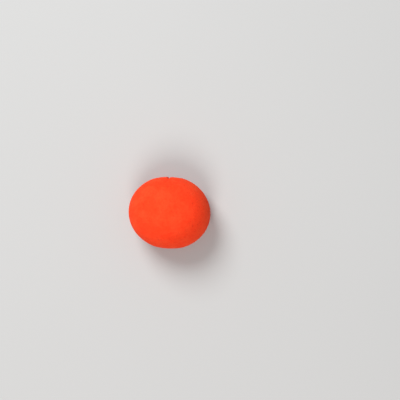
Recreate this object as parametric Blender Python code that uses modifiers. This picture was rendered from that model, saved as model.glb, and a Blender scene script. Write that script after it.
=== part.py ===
"""Jumbo foam clown nose, one piece of soft red foam, modelled in metres with +Z up.

The oval ball rests on its flat back, so +Z is where its front points when it is worn, +Y is the
forehead side and +X the wearer's left. The origin is the middle of the flat back. A pocket for the
nose opens in the back, and a slit for the bridge of the nose runs from it up the ball's side.
"""

import math

import bmesh
import bpy
from mathutils import Matrix, Vector

# The ball: its two widths across the front, and its depth before and behind its widest section
BALL_WIDTH = 0.0821
BALL_HEIGHT = 0.0730
FRONT_DEPTH = 0.0370
BACK_DEPTH = 0.0255
BACK_EDGE_RADIUS = 0.0045

# The pocket for the nose: its mouth in the flat back, its depth and its rounded rim
POCKET_WIDTH = 0.0290
POCKET_HEIGHT = 0.0370
POCKET_DEPTH = 0.0300
POCKET_RIM_RADIUS = 0.0028
# Share of the pocket's width that is gone at the bridge end, where a nose is narrower
POCKET_TAPER = 0.42

# The slit for the bridge, cut a little askew of the oval: it opens wider towards the back
SLIT_TURN_DEG = 6.0
SLIT_FRONT_WIDTH = 0.0018
SLIT_BACK_WIDTH = 0.0038
# How far the slit runs forward of the ball's widest section, and how deep its end is in the pocket
SLIT_PAST_WIDEST = 0.0135
SLIT_POCKET_DEPTH = 0.0220

# How finely the round forms are divided
BALL_STEPS = 80
POCKET_STEPS = 48
SIDE_POINTS = 26
EDGE_POINTS = 5
RIM_POINTS = 4
# How far the cutters stand out of what they cut
CUT_OVERSHOOT = 0.0020
# Where the rim's curve ends, short of lying flat in the back
RIM_END_DEG = 65.0
MERGE_DISTANCE = 0.00001
TANGENT_ROUNDS = 40

# The soft dents of the ball, each as name, turn from +X in degrees, how far before the widest
# section (share of FRONT_DEPTH), its radius and its depth (shares of BALL_HEIGHT)
DENTS = (
    ("lip beside the slit", 87.0, 0.05, 0.125, 0.0125),
    ("flattened brow side", 101.0, 0.05, 0.190, 0.009),
    ("flattened underside", 275.0, 0.02, 0.220, 0.010),
)

FOAM_RED = (0.90, 0.085, 0.025, 1.0)
FOAM_ROUGHNESS = 0.95


def clear_scene():
    for thing in list(bpy.data.objects):
        bpy.data.objects.remove(thing, do_unlink=True)


def new_collection(name):
    collection = bpy.data.collections.new(name)
    bpy.context.scene.collection.children.link(collection)
    return collection


def foam_material():
    material = bpy.data.materials.new("red_foam")
    material.use_nodes = True
    shader = material.node_tree.nodes["Principled BSDF"]
    shader.inputs["Base Color"].default_value = FOAM_RED
    shader.inputs["Roughness"].default_value = FOAM_ROUGHNESS
    shader.inputs["Metallic"].default_value = 0.0
    return material


def side_point(turn):
    """A point of the ball's outline as (radius, height), and the outward normal there."""
    radius = BALL_WIDTH / 2
    point = Vector((radius * math.cos(turn), BACK_DEPTH + FRONT_DEPTH * math.sin(turn)))
    normal = Vector((math.cos(turn) / radius, math.sin(turn) / FRONT_DEPTH)).normalized()
    return point, normal


def edge_tangent():
    """The turn on the outline where the rounding that leads into the flat back begins."""
    below, above = -math.pi / 2, 0.0
    for _ in range(TANGENT_ROUNDS):
        turn = (below + above) / 2
        point, normal = side_point(turn)
        if (point - BACK_EDGE_RADIUS * normal).y > BACK_EDGE_RADIUS:
            above = turn
        else:
            below = turn
    return (below + above) / 2


def ball_profile():
    """Half of the ball's section as (radius, height), from the front tip to the back's middle."""
    tangent = edge_tangent()
    turns = [math.pi / 2 + (tangent - math.pi / 2) * i / SIDE_POINTS for i in range(SIDE_POINTS + 1)]
    profile = [side_point(turn)[0] for turn in turns]
    point, normal = side_point(tangent)
    centre = point - BACK_EDGE_RADIUS * normal
    start = math.atan2(normal.y, normal.x)
    for i in range(1, EDGE_POINTS + 1):
        angle = start + (-math.pi / 2 - start) * i / EDGE_POINTS
        profile.append(centre + BACK_EDGE_RADIUS * Vector((math.cos(angle), math.sin(angle))))
    profile.append(Vector((0.0, 0.0)))
    profile[0].x = 0.0
    profile[-2].y = 0.0
    return profile


def pocket_profile():
    """Half of the pocket's long section as (radius, height), from its end out past its rim."""
    radius = POCKET_HEIGHT / 2
    hollow = POCKET_DEPTH - POCKET_RIM_RADIUS
    quarter = POCKET_STEPS // 4
    profile = []
    for i in range(quarter + 1):
        turn = math.pi / 2 * (1 - i / quarter)
        profile.append(Vector((radius * math.cos(turn), POCKET_RIM_RADIUS + hollow * math.sin(turn))))
    profile[0].x = 0.0
    rim_centre = Vector((radius + POCKET_RIM_RADIUS, POCKET_RIM_RADIUS))
    rim_end = math.radians(RIM_END_DEG)
    for i in range(1, RIM_POINTS + 1):
        turn = rim_end * i / RIM_POINTS
        profile.append(rim_centre - POCKET_RIM_RADIUS * Vector((math.cos(turn), math.sin(turn))))
    leaving = Vector((math.sin(rim_end), -math.cos(rim_end)))
    drop = profile[-1].y + CUT_OVERSHOOT
    profile.append(profile[-1] + leaving * drop / math.cos(rim_end))
    profile.append(Vector((0.0, -CUT_OVERSHOOT)))
    return profile


def turned_mesh(name, profile, steps):
    """The closed mesh that a Screw modifier makes of a half section in the XZ plane."""
    section = bpy.data.meshes.new(name + "_section")
    points = [(point.x, 0.0, point.y) for point in profile]
    section.from_pydata(points, [(i, i + 1) for i in range(len(points) - 1)], [])
    lathe = bpy.data.objects.new(name + "_section", section)
    bpy.context.scene.collection.objects.link(lathe)
    screw = lathe.modifiers.new("turned", "SCREW")
    screw.axis = "Z"
    screw.angle = math.tau
    screw.steps = steps
    screw.render_steps = steps
    screw.use_merge_vertices = True
    screw.merge_threshold = MERGE_DISTANCE
    graph = bpy.context.evaluated_depsgraph_get()
    mesh = bpy.data.meshes.new_from_object(lathe.evaluated_get(graph))
    mesh.name = name
    bpy.data.objects.remove(lathe, do_unlink=True)
    bpy.data.meshes.remove(section)
    return mesh


def press_dents(mesh):
    """Presses the ball's soft dents into its side, towards the axis."""
    for _, turn_deg, ahead, radius_share, depth_share in DENTS:
        turn = math.radians(turn_deg)
        height = BACK_DEPTH + ahead * FRONT_DEPTH
        middle = Vector((BALL_WIDTH / 2 * math.cos(turn), BALL_HEIGHT / 2 * math.sin(turn), height))
        inward = Vector((-math.cos(turn), -math.sin(turn), 0.0))
        radius = radius_share * BALL_HEIGHT
        for vertex in mesh.vertices:
            near = (vertex.co - middle).length / radius
            if near < 1.0:
                vertex.co += inward * depth_share * BALL_HEIGHT * (1 - near * near) ** 2


def add_object(name, mesh, collection):
    thing = bpy.data.objects.new(name, mesh)
    collection.objects.link(thing)
    return thing


def add_cutter(name, mesh, collection):
    cutter = add_object(name, mesh, collection)
    cutter.rotation_euler.z = math.radians(SLIT_TURN_DEG)
    cutter.hide_render = True
    cutter.display_type = "WIRE"
    return cutter


def pocket_cutter(collection):
    """The nose-shaped pocket: an egg in plan, narrower at the bridge end, with a flared rim."""
    mesh = turned_mesh("pocket_cutter", pocket_profile(), POCKET_STEPS)
    half_height = POCKET_HEIGHT / 2
    for vertex in mesh.vertices:
        towards_bridge = (vertex.co.y / half_height + 1) / 2
        narrowing = POCKET_TAPER * max(0.0, min(1.0, towards_bridge))
        vertex.co.x *= POCKET_WIDTH / POCKET_HEIGHT * (1 + POCKET_TAPER / 2 - narrowing)
    return add_cutter("pocket_cutter", mesh, collection)


def slit_cutter(collection):
    """The slit's wedge: a flat outline along the slit, drawn out sideways and spread at the back."""
    reach = BALL_HEIGHT / 2 + CUT_OVERSHOOT
    front = BACK_DEPTH + SLIT_PAST_WIDEST
    outline = (
        (0.0, -CUT_OVERSHOOT),
        (reach, -CUT_OVERSHOOT),
        (reach, front),
        (0.0, SLIT_POCKET_DEPTH),
    )
    shape = bmesh.new()
    corners = [shape.verts.new((-0.5, along, height)) for along, height in outline]
    face = shape.faces.new(corners)
    drawn = bmesh.ops.extrude_face_region(shape, geom=[face])["geom"]
    bmesh.ops.translate(shape, vec=(1.0, 0.0, 0.0), verts=[v for v in drawn if isinstance(v, bmesh.types.BMVert)])
    for vertex in shape.verts:
        share = vertex.co.z / front
        vertex.co.x *= SLIT_BACK_WIDTH + (SLIT_FRONT_WIDTH - SLIT_BACK_WIDTH) * share
    bmesh.ops.recalc_face_normals(shape, faces=shape.faces)
    mesh = bpy.data.meshes.new("slit_cutter")
    shape.to_mesh(mesh)
    shape.free()
    return add_cutter("slit_cutter", mesh, collection)


def foam_ball(collection, cutters):
    """The ball itself, with the pocket and the slit cut out of it."""
    mesh = turned_mesh("foam_ball", ball_profile(), BALL_STEPS)
    mesh.transform(Matrix.Diagonal((1.0, BALL_HEIGHT / BALL_WIDTH, 1.0, 1.0)))
    press_dents(mesh)
    mesh.materials.append(foam_material())
    mesh.shade_smooth()
    mesh.set_sharp_from_angle(angle=math.radians(40.0))
    ball = add_object("foam_ball", mesh, collection)
    for cutter in cutters:
        cut = ball.modifiers.new(cutter.name, "BOOLEAN")
        cut.operation = "DIFFERENCE"
        cut.solver = "EXACT"
        cut.object = cutter
    return ball


def main():
    clear_scene()
    nose = new_collection("clown_nose")
    cutters = new_collection("cutters")
    foam_ball(nose, [pocket_cutter(cutters), slit_cutter(cutters)])


main()
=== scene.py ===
"""A jumbo foam clown nose at rest on its flat back, finished for a plain studio picture.

Everything is in metres in the part's own frame: +Z is where the front of the nose points, +Y is
the forehead side with the slit, and +X is the wearer's left. The floor is the plane under the back.
"""

import logging
import math
from dataclasses import dataclass, field
from enum import Enum
from typing import Any

import bmesh
import bpy
from mathutils import Matrix, Vector, noise


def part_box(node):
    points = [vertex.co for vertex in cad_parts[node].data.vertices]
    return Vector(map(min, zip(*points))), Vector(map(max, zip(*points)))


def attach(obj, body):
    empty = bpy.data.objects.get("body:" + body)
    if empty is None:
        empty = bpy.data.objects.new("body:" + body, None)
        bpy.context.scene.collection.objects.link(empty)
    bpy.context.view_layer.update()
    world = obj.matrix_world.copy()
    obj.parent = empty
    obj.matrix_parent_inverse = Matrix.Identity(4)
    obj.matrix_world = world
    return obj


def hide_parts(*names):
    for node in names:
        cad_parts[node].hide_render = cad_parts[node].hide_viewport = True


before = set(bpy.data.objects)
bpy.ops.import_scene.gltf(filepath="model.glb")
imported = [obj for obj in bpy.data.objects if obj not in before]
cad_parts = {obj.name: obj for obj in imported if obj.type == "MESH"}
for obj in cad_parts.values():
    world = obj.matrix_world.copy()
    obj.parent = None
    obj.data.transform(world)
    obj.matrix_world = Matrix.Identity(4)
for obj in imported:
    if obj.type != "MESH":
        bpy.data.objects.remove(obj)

LOG = logging.getLogger("clown_nose")
FOAM_NODE = "foam_ball"

# The numbers that the nose's mesh carries for its finish and its painted shade: how far it is cut, and how
# far in a pore
CUT_ATTRIBUTE = "cut_face"
PIT_ATTRIBUTE = "open_pore"

# Two points of a form that lie nearer than this are one point
MERGE_DISTANCE = 0.000002
# How closely the start of the back edge's rounding is found, in radians
TURN_TOLERANCE = 1e-9

Colour = tuple[float, float, float, float]
Span = tuple[float, float]


class Signal:
    """A number running through a shader, so that a foam pattern reads as arithmetic."""

    def __init__(self, sheet: "NodeSheet", socket: bpy.types.NodeSocket) -> None:
        """Wraps a socket.

        Args:
            sheet: The node sheet that new Math nodes are added to.
            socket: The output socket that carries the number.
        """
        self.sheet = sheet
        self.socket = socket

    def maths(self, operation: str, *terms: "Signal | float") -> "Signal":
        """Adds one Math node.

        Args:
            operation: The Math node's operation.
            terms: Its inputs in order.

        Returns:
            The node's result.
        """
        node = self.sheet.node("ShaderNodeMath", {"operation": operation}, dict(enumerate(terms)))
        return Signal(self.sheet, node.outputs[0])

    def __add__(self, other: "Signal | float") -> "Signal":
        """This number plus another."""
        return self.maths("ADD", self, other)

    def __sub__(self, other: "Signal | float") -> "Signal":
        """This number less another."""
        return self.maths("SUBTRACT", self, other)

    def __rsub__(self, other: float) -> "Signal":
        """A plain number less this one."""
        return self.maths("SUBTRACT", other, self)

    def __mul__(self, other: "Signal | float") -> "Signal":
        """This number times another."""
        return self.maths("MULTIPLY", self, other)

    __radd__ = __add__
    __rmul__ = __mul__

    def ramp(self, span: Span) -> "Signal":
        """A smooth step from 0 to 1.

        Args:
            span: Where the step begins and where it ends.

        Returns:
            The stepped number.
        """
        node = self.sheet.node(
            "ShaderNodeMapRange",
            {"interpolation_type": "SMOOTHSTEP"},
            {"Value": self, "From Min": span[0], "From Max": span[1]},
        )
        return Signal(self.sheet, node.outputs["Result"])


class NodeSheet:
    """The node tree of one material, with one way to add a node."""

    CLOUD_ROUGHNESS = 0.55
    CELL_RANDOMNESS = 0.95

    def __init__(self, name: str) -> None:
        """Starts a material with an empty tree.

        Args:
            name: The material's name.
        """
        self.material = bpy.data.materials.new(name)
        self.material.use_nodes = True
        self.tree = self.material.node_tree
        self.tree.nodes.clear()

    def node(self, kind: str, settings: dict[str, Any], inputs: dict[int | str, Any]) -> bpy.types.Node:
        """Adds a node.

        Args:
            kind: The node's type.
            settings: Its own properties, set first.
            inputs: A value, a socket or a Signal for each input, by name or by number.

        Returns:
            The new node.
        """
        made = self.tree.nodes.new(kind)
        for name, setting in settings.items():
            setattr(made, name, setting)
        for name, value in inputs.items():
            source = value.socket if isinstance(value, Signal) else value
            if isinstance(source, bpy.types.NodeSocket):
                self.tree.links.new(source, made.inputs[name])
            else:
                made.inputs[name].default_value = source
        return made

    def places(self) -> bpy.types.NodeSocket:
        """The surface's own place, in metres."""
        return self.node("ShaderNodeTexCoord", {}, {}).outputs["Object"]

    def number(self, attribute: str) -> Signal:
        """A number that the mesh carries.

        Args:
            attribute: The mesh attribute's name.

        Returns:
            That number over the surface.
        """
        node = self.node("ShaderNodeAttribute", {"attribute_name": attribute}, {})
        return Signal(self, node.outputs["Fac"])

    def cloud(self, where: bpy.types.NodeSocket, length: float, detail: float) -> Signal:
        """A soft noise.

        Args:
            where: The place that it is read at.
            length: The length of one wave, in metres.
            detail: How many finer waves lie on it.

        Returns:
            A number from 0 to 1, about 0.5 on average.
        """
        inputs = {"Vector": where, "Scale": 1 / length, "Detail": detail, "Roughness": self.CLOUD_ROUGHNESS}
        node = self.node("ShaderNodeTexNoise", {"noise_dimensions": "3D"}, inputs)
        return Signal(self, node.outputs[0])

    def cells(self, where: bpy.types.NodeSocket, length: float) -> Signal:
        """The distance from the middle of the nearest foam cell.

        Args:
            where: The place that it is read at.
            length: A cell's size, in metres.

        Returns:
            A number that is 0 in the middle of a cell and about 0.7 on its walls.
        """
        inputs = {"Vector": where, "Scale": 1 / length, "Randomness": self.CELL_RANDOMNESS}
        settings = {"voronoi_dimensions": "3D", "feature": "F1"}
        node = self.node("ShaderNodeTexVoronoi", settings, inputs)
        return Signal(self, node.outputs["Distance"])

    def blend(self, share: Signal, first: Any, second: Any) -> bpy.types.NodeSocket:
        """Mixes two colours.

        Args:
            share: How much of the second there is.
            first: A colour or a colour socket.
            second: A colour or a colour socket.

        Returns:
            The mixed colour.
        """
        settings = {"data_type": "RGBA", "clamp_factor": True}
        # A Mix node's inputs share their names, so its factor and its two colours go by number
        return self.node("ShaderNodeMix", settings, {0: share, 6: first, 7: second}).outputs[2]

    def relief(self, height: Signal, depth: float, strength: float) -> bpy.types.NodeSocket:
        """Turns a height into a bumped normal.

        Args:
            height: The height over the surface.
            depth: The depth that a height of 1 stands for, in metres.
            strength: How much of it shows, from 0 to 1.

        Returns:
            The bumped normal.
        """
        inputs = {"Height": height, "Distance": depth, "Strength": strength}
        return self.node("ShaderNodeBump", {}, inputs).outputs["Normal"]

    def finish(self, surface: dict[str, Any]) -> bpy.types.Material:
        """Adds the surface shader and the output.

        Args:
            surface: The values and links of the Principled shader.

        Returns:
            The finished material.
        """
        shader = self.node("ShaderNodeBsdfPrincipled", {}, surface)
        self.node("ShaderNodeOutputMaterial", {}, {"Surface": shader.outputs["BSDF"]})
        return self.material


@dataclass(frozen=True)
class FoamFinish:
    """Soft, fully matte red-orange foam with fine cells, coarser where it is cut, with painted shade
    darkening its cut faces, its cell bottoms and its open pores.
    """

    # The foam's own reds for its bright patches, its skin and its flecks; the deep red also serves as
    # painted shade on the cut faces, and the hollow red is painted shade for the cell bottoms and the open
    # pores
    bright: Colour = (0.960, 0.0632, 0.0158, 1.0)
    skin: Colour = (0.950, 0.0505, 0.0114, 1.0)
    deep: Colour = (0.840, 0.0290, 0.0078, 1.0)
    # Painted shade for the bottoms of the cells and the open pores
    hollow: Colour = (0.520, 0.0120, 0.0044, 1.0)
    fuzz: Colour = (1.0, 0.42, 0.16, 1.0)
    # The sizes of its cells, flecks and patches
    skin_cell: float = 0.00065
    cut_cell: float = 0.00120
    fleck: float = 0.0024
    fleck_detail: float = 3.0
    patch: float = 0.0110
    patch_detail: float = 2.0
    # Where each pattern begins and ends, and how strongly it colours the foam; the cut, pore and pit shares
    # set how strongly painted shade darkens it
    pore_span: Span = (0.10, 0.45)
    patch_span: Span = (0.40, 0.66)
    fleck_span: Span = (0.50, 0.78)
    fleck_share: float = 0.50
    # How much painted shade darkens the cut faces towards the deep red
    cut_share: float = 0.45
    # How much painted shade darkens the cell bottoms, more on the cut faces, and the open pores
    skin_pore_shade: float = 0.46
    cut_pore_shade_extra: float = 0.28
    pit_share: float = 0.75
    # How the cell walls and the flecks stand out
    wall_height: float = 1.4
    fleck_height: float = 0.9
    bump_depth: float = 0.00030
    bump_strength: float = 0.55
    # How it takes the light
    roughness: float = 0.93
    pore_roughness: float = 0.06
    gloss: float = 0.10
    sheen: float = 0.06
    sheen_roughness: float = 0.55
    glow: float = 0.10
    glow_depth: float = 0.0025
    glow_reach: tuple[float, float, float] = (1.0, 0.22, 0.10)

    def build(self) -> bpy.types.Material:
        """Makes the foam's material.

        Returns:
            The material.
        """
        sheet = NodeSheet("red_foam")
        where = sheet.places()
        cut = sheet.number(CUT_ATTRIBUTE)
        pit = sheet.number(PIT_ATTRIBUTE)
        fine = sheet.cells(where, self.skin_cell)
        coarse = sheet.cells(where, self.cut_cell)
        fleck = sheet.cloud(where, self.fleck, self.fleck_detail)
        patch = sheet.cloud(where, self.patch, self.patch_detail)
        wall = fine * (1 - cut) + coarse * cut
        pore = 1 - wall.ramp(self.pore_span)
        tone = sheet.blend(patch.ramp(self.patch_span), self.skin, self.bright)
        tone = sheet.blend(fleck.ramp(self.fleck_span) * self.fleck_share, tone, self.deep)
        # Painted shade: the cut faces are darkened towards the deep red, as if shadowed in their open cells
        tone = sheet.blend(cut * self.cut_share, tone, self.deep)
        # Painted shade: the bottoms of the cells, more so on the cut faces, and the open pores are darkened
        # towards the hollow red
        tone = sheet.blend(pore * (self.skin_pore_shade + self.cut_pore_shade_extra * cut), tone, self.hollow)
        tone = sheet.blend(pit * self.pit_share, tone, self.hollow)
        height = wall * self.wall_height + fleck * self.fleck_height
        return sheet.finish(
            {
                "Base Color": tone,
                "Roughness": self.roughness + self.pore_roughness * pore,
                "Normal": sheet.relief(height, self.bump_depth, self.bump_strength),
                "Specular IOR Level": self.gloss,
                "Sheen Weight": self.sheen,
                "Sheen Roughness": self.sheen_roughness,
                "Sheen Tint": self.fuzz,
                "Subsurface Weight": self.glow,
                "Subsurface Radius": self.glow_reach,
                "Subsurface Scale": self.glow_depth,
            }
        )


@dataclass(frozen=True)
class FloorFinish:
    """Plain pale studio paper, a little uneven in tone."""

    paper: Colour = (0.482, 0.489, 0.488, 1.0)
    shade: Colour = (0.468, 0.475, 0.474, 1.0)
    patch: float = 0.35
    fibre: float = 0.0011
    detail: float = 2.0
    fibre_depth: float = 0.00003
    fibre_strength: float = 0.3
    roughness: float = 0.85
    gloss: float = 0.2

    def build(self) -> bpy.types.Material:
        """Makes the floor's material.

        Returns:
            The material.
        """
        sheet = NodeSheet("studio_paper")
        where = sheet.places()
        tone = sheet.blend(sheet.cloud(where, self.patch, self.detail), self.paper, self.shade)
        fibre = sheet.cloud(where, self.fibre, self.detail)
        return sheet.finish(
            {
                "Base Color": tone,
                "Roughness": self.roughness,
                "Normal": sheet.relief(fibre, self.fibre_depth, self.fibre_strength),
                "Specular IOR Level": self.gloss,
            }
        )


def eased(share: float) -> float:
    """Rounds off both ends of a share.

    Args:
        share: A share from 0 to 1.

    Returns:
        The share, starting and ending level.
    """
    return share * share * (3 - 2 * share)


@dataclass(frozen=True)
class Relief:
    """The relief of one kind of foam surface, with its lengths in metres."""

    swell: float
    swell_length: float
    grain: float
    grain_length: float
    pit_depth: float
    pit_share: float
    pit_spacing: float
    pit_radius: float


class FoamFace(Enum):
    """The two kinds of surface on the nose: its ground skin and its knife-cut faces."""

    SKIN = Relief(
        swell=0.00007,
        swell_length=0.0180,
        grain=0.00005,
        grain_length=0.0016,
        pit_depth=0.00030,
        pit_share=0.22,
        pit_spacing=0.0030,
        pit_radius=0.00075,
    )
    CUT = Relief(
        swell=0.00022,
        swell_length=0.0080,
        grain=0.00012,
        grain_length=0.0017,
        pit_depth=0.00045,
        pit_share=0.60,
        pit_spacing=0.0024,
        pit_radius=0.00080,
    )

    def wave(self, place: Vector) -> float:
        """The height of the swell and the grain at a place.

        Args:
            place: A point of the surface.

        Returns:
            How far the surface stands out there, in metres.
        """
        relief = self.value
        swell = relief.swell * noise.noise(place / relief.swell_length)
        return swell + relief.grain * noise.noise(place / relief.grain_length)


@dataclass(frozen=True)
class OpenPores:
    """Which of the foam's cells are the odd open pores, and how their sizes differ."""

    # How far apart neighbouring cells lie in the noise that ranks them
    rank_spacing: float = 5.3
    # Few cells rank near the bottom, so the limit for a share of them lies this much higher
    limit_lift: float = 0.25
    least_size: float = 0.6
    size_spread: float = 1.2

    def depth(self, face: FoamFace, place: Vector) -> float:
        """How far a place lies in a pore.

        Args:
            face: The kind of surface that the place is on.
            place: A point of the surface.

        Returns:
            A share from 0 beside the pores to 1 in the middle of one.
        """
        relief = face.value
        distances, middles = noise.voronoi(place / relief.pit_spacing)
        rank = (noise.noise(middles[0] * self.rank_spacing) + 1) / 2
        if rank > relief.pit_share + self.limit_lift:
            return 0.0
        radius = relief.pit_radius * (self.least_size + self.size_spread * rank)
        return eased(max(0.0, 1.0 - distances[0] * relief.pit_spacing / radius))


def spun(profile: list[Vector], steps: int) -> bmesh.types.BMesh:
    """Spins a half section round the nose's axis.

    Args:
        profile: Points as (radius, height), the first and the last on the axis.
        steps: How many steps the full turn has.

    Returns:
        The closed form.
    """
    form = bmesh.new()
    points = [form.verts.new((point.x, 0.0, point.y)) for point in profile]
    edges = [form.edges.new(pair) for pair in zip(points, points[1:])]
    bmesh.ops.spin(
        form,
        geom=points + edges,
        cent=(0.0, 0.0, 0.0),
        axis=(0.0, 0.0, 1.0),
        angle=math.tau,
        steps=steps,
        use_merge=True,
        use_duplicate=False,
    )
    bmesh.ops.remove_doubles(form, verts=form.verts, dist=MERGE_DISTANCE)
    bmesh.ops.recalc_face_normals(form, faces=form.faces)
    return form


def turned(form: bmesh.types.BMesh, degrees: float) -> None:
    """Turns a form about the nose's axis.

    Args:
        form: The form.
        degrees: How far it turns from +Y towards -X.
    """
    turn = Matrix.Rotation(math.radians(degrees), 3, "Z")
    bmesh.ops.rotate(form, cent=(0.0, 0.0, 0.0), matrix=turn, verts=form.verts)


def placed(form: bmesh.types.BMesh, name: str) -> bpy.types.Object:
    """Makes an object at the origin of a finished form.

    Args:
        form: The form, which is freed.
        name: The object's name.

    Returns:
        The object, in the scene.
    """
    mesh = bpy.data.meshes.new(name)
    form.to_mesh(mesh)
    form.free()
    thing = bpy.data.objects.new(name, mesh)
    bpy.context.scene.collection.objects.link(thing)
    return thing


def taken_away(things: list[bpy.types.Object]) -> None:
    """Removes working objects and their meshes.

    Args:
        things: The objects to remove.
    """
    for thing in things:
        mesh = thing.data
        bpy.data.objects.remove(thing, do_unlink=True)
        bpy.data.meshes.remove(mesh)


@dataclass(frozen=True)
class SoftDent:
    """A soft dent in the ball's side: where it is, how wide and how deep."""

    turn_deg: float
    ahead: float
    radius: float
    depth: float


@dataclass
class BallForm:
    """The oval ball with its flat-cut back and softened back edge, before it is hollowed."""

    width: float
    total_depth: float
    height: float = 0.0730
    back_depth: float = 0.0255
    edge_radius: float = 0.0045
    steps: int = 144
    side_points: int = 48
    edge_points: int = 8
    # The lip beside the slit, the flattened brow side and the flattened underside
    dents: tuple[SoftDent, ...] = (
        SoftDent(turn_deg=87.0, ahead=0.00185, radius=0.0091, depth=0.00091),
        SoftDent(turn_deg=101.0, ahead=0.00185, radius=0.0139, depth=0.00066),
        SoftDent(turn_deg=275.0, ahead=0.0007, radius=0.0161, depth=0.00073),
    )

    @property
    def front_depth(self) -> float:
        """How far the front stands before the ball's widest section."""
        return self.total_depth - self.back_depth

    def side_point(self, turn: float) -> tuple[Vector, Vector]:
        """A point of the ball's half section.

        Args:
            turn: The angle on the section, 0 at the widest place and a quarter turn at the front.

        Returns:
            The point as (radius, height), and the outward normal there.
        """
        radius = self.width / 2
        point = Vector((radius * math.cos(turn), self.back_depth + self.front_depth * math.sin(turn)))
        normal = Vector((math.cos(turn) / radius, math.sin(turn) / self.front_depth))
        return point, normal.normalized()

    def edge_turn(self) -> float:
        """Finds where the rounding that leads into the flat back begins.

        Returns:
            The angle on the section, as side_point takes it.
        """
        below, above = -math.pi / 2, 0.0
        while above - below > TURN_TOLERANCE:
            turn = (below + above) / 2
            point, normal = self.side_point(turn)
            if (point - self.edge_radius * normal).y > self.edge_radius:
                above = turn
            else:
                below = turn
        return below

    def profile(self) -> list[Vector]:
        """The ball's half section, from its front tip to the middle of its back.

        Returns:
            Points as (radius, height).
        """
        last = self.edge_turn()
        first = math.pi / 2
        shares = [i / self.side_points for i in range(self.side_points + 1)]
        points = [self.side_point(first + (last - first) * share)[0] for share in shares]
        corner, normal = self.side_point(last)
        middle = corner - self.edge_radius * normal
        start = math.atan2(normal.y, normal.x)
        for i in range(1, self.edge_points + 1):
            angle = start + (-math.pi / 2 - start) * i / self.edge_points
            points.append(middle + self.edge_radius * Vector((math.cos(angle), math.sin(angle))))
        points.append(Vector((0.0, 0.0)))
        points[0].x = 0.0
        return points

    def press(self, form: bmesh.types.BMesh) -> None:
        """Presses the soft dents into the ball's side.

        Args:
            form: The ball's mesh.
        """
        for dent in self.dents:
            turn = math.radians(dent.turn_deg)
            outward = Vector((math.cos(turn), math.sin(turn), 0.0))
            middle = Vector((self.width / 2 * outward.x, self.height / 2 * outward.y, 0.0))
            middle.z = self.back_depth + dent.ahead
            for vertex in form.verts:
                near = (vertex.co - middle).length / dent.radius
                if near < 1.0:
                    vertex.co -= outward * dent.depth * (1 - near * near) ** 2

    def depth_inside(self, place: Vector) -> float:
        """How deep a place lies under the ball's outer skin.

        Args:
            place: A point of the nose's surface.

        Returns:
            The depth in metres, about 0 on the skin.
        """
        across = place.x / (self.width / 2)
        along = place.y / (self.height / 2)
        ahead = (place.z - self.back_depth) / self.front_depth
        return (1.0 - math.sqrt(across**2 + along**2 + ahead**2)) * self.height / 2

    def build(self) -> bpy.types.Object:
        """Spins the ball, makes it oval and presses its dents.

        Returns:
            The whole ball.
        """
        form = spun(self.profile(), self.steps)
        bmesh.ops.scale(form, vec=(1.0, self.height / self.width, 1.0), verts=form.verts)
        self.press(form)
        return placed(form, "ball_form")


@dataclass
class NosePocket:
    """The pocket for the nose, an egg in plan with its narrow end towards the bridge."""

    turn_deg: float
    width: float = 0.0290
    height: float = 0.0370
    depth: float = 0.0300
    rim_radius: float = 0.0028
    taper: float = 0.42
    rim_end_deg: float = 65.0
    overshoot: float = 0.0020
    wobble: float = 0.0005
    wobble_length: float = 0.0085
    wobble_seed: int = 7
    steps: int = 96
    quarter_points: int = 22
    rim_points: int = 6

    def profile(self) -> list[Vector]:
        """The pocket's half section, from its rounded end out past its rim.

        Returns:
            Points as (radius, height).
        """
        radius = self.height / 2
        hollow = self.depth - self.rim_radius
        points = []
        for i in range(self.quarter_points + 1):
            turn = math.pi / 2 * (1 - i / self.quarter_points)
            points.append(Vector((radius * math.cos(turn), self.rim_radius + hollow * math.sin(turn))))
        points[0].x = 0.0
        middle = Vector((radius + self.rim_radius, self.rim_radius))
        end = math.radians(self.rim_end_deg)
        for i in range(1, self.rim_points + 1):
            turn = end * i / self.rim_points
            points.append(middle - self.rim_radius * Vector((math.cos(turn), math.sin(turn))))
        leaving = Vector((math.tan(end), -1.0))
        points.append(points[-1] + leaving * (points[-1].y + self.overshoot))
        points.append(Vector((0.0, -self.overshoot)))
        return points

    def build(self) -> bpy.types.Object:
        """Makes the pocket's cutting form, a little uneven as if cut by hand.

        Returns:
            The cutting form.
        """
        form = spun(self.profile(), self.steps)
        noise.seed_set(self.wobble_seed)
        for vertex in form.verts:
            towards_bridge = (vertex.co.y / (self.height / 2) + 1) / 2
            narrowing = self.taper * max(0.0, min(1.0, towards_bridge))
            vertex.co.x *= self.width / self.height * (1 + self.taper / 2 - narrowing)
            if vertex.co.z > 0.0:
                vertex.co += noise.noise_vector(vertex.co / self.wobble_length) * self.wobble
        turned(form, self.turn_deg)
        return placed(form, "pocket_form")


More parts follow.
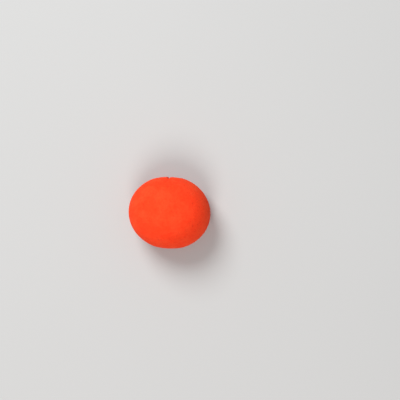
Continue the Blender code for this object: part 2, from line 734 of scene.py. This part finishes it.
@dataclass
class BridgeSlit:
    """The knife-cut slit for the bridge of the nose, from the pocket out through the ball's side."""

    turn_deg: float
    reach: float
    front: float
    front_width: float = 0.0018
    back_width: float = 0.0038
    pocket_depth: float = 0.0220
    # Its front edge rises from the pocket over this share of its length, and is level from there on
    level_from: float = 0.80
    overshoot: float = 0.0020
    cuts: int = 15
    wander: float = 0.00035
    wander_length: float = 0.0070

    def build(self) -> bpy.types.Object:
        """Shapes a cube into the slit's cutting form, a wedge with slightly wandering sides.

        Returns:
            The cutting form.
        """
        form = bmesh.new()
        bmesh.ops.create_cube(form, size=1.0)
        bmesh.ops.subdivide_edges(form, edges=form.edges, cuts=self.cuts, use_grid_fill=True)
        for vertex in form.verts:
            # The unit cube lies about the origin, so half a side makes its places shares from 0 to 1
            along, up = vertex.co.y + 0.5, vertex.co.z + 0.5
            rise = min(1.0, along / self.level_from)
            top = self.pocket_depth + (self.front - self.pocket_depth) * rise
            height = up * (top + self.overshoot) - self.overshoot
            width = self.back_width + (self.front_width - self.back_width) * height / self.front
            place = Vector((vertex.co.x * width, along * (self.reach + self.overshoot), height))
            place.x += self.wander * noise.noise(Vector((0.0, place.y, place.z)) / self.wander_length)
            vertex.co = place
        turned(form, self.turn_deg)
        bmesh.ops.recalc_face_normals(form, faces=form.faces)
        return placed(form, "slit_form")


@dataclass
class FoamNose:
    """The nose itself: the ball, hollowed and slit, then softened and given its foam relief."""

    low: Vector
    high: Vector
    slit_turn_deg: float = 6.0
    slit_past_widest: float = 0.0135
    grain_size: float = 0.00056
    soft_rounds: int = 6
    soft_factor: float = 0.5
    skin_depth: float = 0.0010
    pores: OpenPores = field(default_factory=OpenPores)
    finish: FoamFinish = field(default_factory=FoamFinish)

    def __post_init__(self) -> None:
        """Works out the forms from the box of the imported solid."""
        size = self.high - self.low
        self.ball = BallForm(width=size.x, total_depth=size.z)
        self.pocket = NosePocket(turn_deg=self.slit_turn_deg)
        self.slit = BridgeSlit(
            turn_deg=self.slit_turn_deg,
            reach=self.ball.height / 2,
            front=self.ball.back_depth + self.slit_past_widest,
        )

    def carve(self) -> bpy.types.Mesh:
        """Cuts the pocket and the slit from the ball, and divides it into small even faces.

        Returns:
            The carved mesh.
        """
        ball = self.ball.build()
        cutters = [self.pocket.build(), self.slit.build()]
        for cutter in cutters:
            cut = ball.modifiers.new(cutter.name, "BOOLEAN")
            cut.operation = "DIFFERENCE"
            cut.solver = "EXACT"
            cut.object = cutter
        even = ball.modifiers.new("even_faces", "REMESH")
        even.mode = "VOXEL"
        even.voxel_size = self.grain_size
        graph = bpy.context.evaluated_depsgraph_get()
        mesh = bpy.data.meshes.new_from_object(ball.evaluated_get(graph))
        taken_away([ball, *cutters])
        return mesh

    def cut_share(self, place: Vector) -> float:
        """How far a place is a cut face: 0 on the skin, 1 in the pocket, the slit and the back.

        Args:
            place: A point of the surface.

        Returns:
            The share, from 0 to 1.
        """
        share = (self.ball.depth_inside(place) - self.skin_depth) / self.skin_depth
        return eased(max(0.0, min(1.0, share)))

    def roughen(self, form: bmesh.types.BMesh) -> None:
        """Softens the cut edges and gives each face its relief.

        Args:
            form: The carved mesh.
        """
        for _ in range(self.soft_rounds):
            bmesh.ops.smooth_vert(
                form,
                verts=form.verts,
                factor=self.soft_factor,
                use_axis_x=True,
                use_axis_y=True,
                use_axis_z=True,
            )
        form.normal_update()
        cut = form.verts.layers.float.new(CUT_ATTRIBUTE)
        pit = form.verts.layers.float.new(PIT_ATTRIBUTE)
        for vertex in form.verts:
            place = vertex.co.copy()
            share = self.cut_share(place)
            vertex[cut] = share
            for face, part in ((FoamFace.SKIN, 1 - share), (FoamFace.CUT, share)):
                if part > 0.0:
                    depth = self.pores.depth(face, place) * part
                    vertex[pit] += depth
                    vertex.co += vertex.normal * (face.wave(place) * part - face.value.pit_depth * depth)
            vertex.co.z = max(vertex.co.z, self.low.z)

    def build(self) -> bpy.types.Object:
        """Makes the finished nose as one piece.

        Returns:
            The nose.
        """
        form = bmesh.new()
        mesh = self.carve()
        form.from_mesh(mesh)
        bpy.data.meshes.remove(mesh)
        self.roughen(form)
        nose = placed(form, "foam_nose")
        nose.data.shade_smooth()
        nose.data.materials.clear()
        nose.data.materials.append(self.finish.build())
        return nose


@dataclass
class PictureCamera:
    """The camera at the photograph's angle: before the front, a little to its +X side, and rolled."""

    ball_middle: Vector
    side_turn_deg: float = 7.0
    roll_deg: float = 6.0
    distance: float = 1.30
    frame_pixels: float = 400.0
    ball_pixel: tuple[float, float] = (169.5, 212.65)
    metres_per_pixel: float = 0.0010
    nearest: float = 0.05
    furthest: float = 20.0

    def axes(self) -> tuple[Vector, Vector, Vector]:
        """Works out the camera's own directions.

        Returns:
            The picture's right, its up, and the way from the nose to the camera.
        """
        side = math.radians(self.side_turn_deg)
        roll = math.radians(self.roll_deg)
        toward = Vector((math.sin(side), 0.0, math.cos(side)))
        level = Vector((math.cos(side), 0.0, -math.sin(side)))
        upright = Vector((0.0, 1.0, 0.0))
        right = level * math.cos(roll) + upright * math.sin(roll)
        up = upright * math.cos(roll) - level * math.sin(roll)
        return right, up, toward

    def build(self) -> bpy.types.Object:
        """Places the camera so that the ball lies where the photograph has it.

        Returns:
            The camera, which is made the scene's own.
        """
        right, up, toward = self.axes()
        across = (self.frame_pixels / 2 - self.ball_pixel[0]) * self.metres_per_pixel
        above = (self.ball_pixel[1] - self.frame_pixels / 2) * self.metres_per_pixel
        aim = self.ball_middle + right * across + up * above
        place = self.ball_middle + toward * self.distance
        back = (place - aim).normalized()
        side = up.cross(back).normalized()
        data = bpy.data.cameras.new("picture_camera")
        data.lens = data.sensor_width * self.distance / (self.frame_pixels * self.metres_per_pixel)
        data.clip_start = self.nearest
        data.clip_end = self.furthest
        camera = bpy.data.objects.new("picture_camera", data)
        facing = Matrix((side, back.cross(side), back)).transposed()
        camera.matrix_world = Matrix.Translation(place) @ facing.to_4x4()
        bpy.context.scene.collection.objects.link(camera)
        bpy.context.scene.camera = camera
        return camera


@dataclass(frozen=True)
class SoftBox:
    """A soft round studio light, placed by its angles seen from the picture's camera."""

    name: str
    right_deg: float
    up_deg: float
    watts: float
    distance: float = 2.2
    size: float = 1.2
    colour: tuple[float, float, float] = (1.0, 1.0, 1.0)

    def build(self, camera: PictureCamera) -> bpy.types.Object:
        """Makes the light and points it at the ball.

        Args:
            camera: The camera that the angles are measured from.

        Returns:
            The light.
        """
        right, up, toward = camera.axes()
        turn, lift = math.radians(self.right_deg), math.radians(self.up_deg)
        way = right * math.sin(turn) * math.cos(lift) + up * math.sin(lift)
        way += toward * math.cos(turn) * math.cos(lift)
        data = bpy.data.lights.new(self.name, "AREA")
        data.shape = "DISK"
        data.size = self.size
        data.energy = self.watts
        data.color = self.colour
        light = bpy.data.objects.new(self.name, data)
        facing = way.to_track_quat("Z", "Y").to_matrix().to_4x4()
        light.matrix_world = Matrix.Translation(camera.ball_middle + way * self.distance) @ facing
        bpy.context.scene.collection.objects.link(light)
        return light


@dataclass
class Studio:
    """The plain pale floor, the soft lights and the pale surroundings."""

    camera: PictureCamera
    floor_radius: float = 4.0
    floor_steps: int = 96
    air: Colour = (0.90, 0.90, 0.90, 1.0)
    air_strength: float = 0.40
    boxes: tuple[SoftBox, ...] = (
        SoftBox("key_light", right_deg=-28.0, up_deg=35.0, watts=47.0),
        SoftBox("low_light", right_deg=-10.0, up_deg=-35.0, watts=27.0, colour=(1.0, 0.93, 0.90)),
    )

    def floor(self) -> bpy.types.Object:
        """Makes the floor, a plain disc under the nose.

        Returns:
            The floor.
        """
        form = bmesh.new()
        bmesh.ops.create_circle(form, cap_ends=True, segments=self.floor_steps, radius=self.floor_radius)
        floor = placed(form, "studio_floor")
        floor.data.materials.append(FloorFinish().build())
        return floor

    def build(self) -> bpy.types.Object:
        """Sets up the surroundings and the lights, and makes the floor.

        Returns:
            The floor.
        """
        world = bpy.data.worlds.new("studio_air")
        world.use_nodes = True
        background = world.node_tree.nodes["Background"]
        background.inputs["Color"].default_value = self.air
        background.inputs["Strength"].default_value = self.air_strength
        scene = bpy.context.scene
        scene.world = world
        scene.view_settings.view_transform = "Standard"
        for box in self.boxes:
            box.build(self.camera)
        return self.floor()


def main() -> None:
    """Builds the nose, the camera and the studio, and attaches the nose to its body."""
    logging.basicConfig(level=logging.INFO, format="%(name)s: %(message)s")
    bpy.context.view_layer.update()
    low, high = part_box(FOAM_NODE)
    maker = FoamNose(Vector(low), Vector(high))
    nose = maker.build()
    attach(nose, "root")
    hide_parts(FOAM_NODE)
    LOG.info("%s: %d faces", nose.name, len(nose.data.polygons))
    camera = PictureCamera(Vector((0.0, 0.0, maker.ball.back_depth)))
    camera.build()
    LOG.info("camera %.2f m from the ball", camera.distance)
    floor = Studio(camera).build()
    LOG.info("%s and the lights ready", floor.name)


if __name__ == "__main__":
    main()
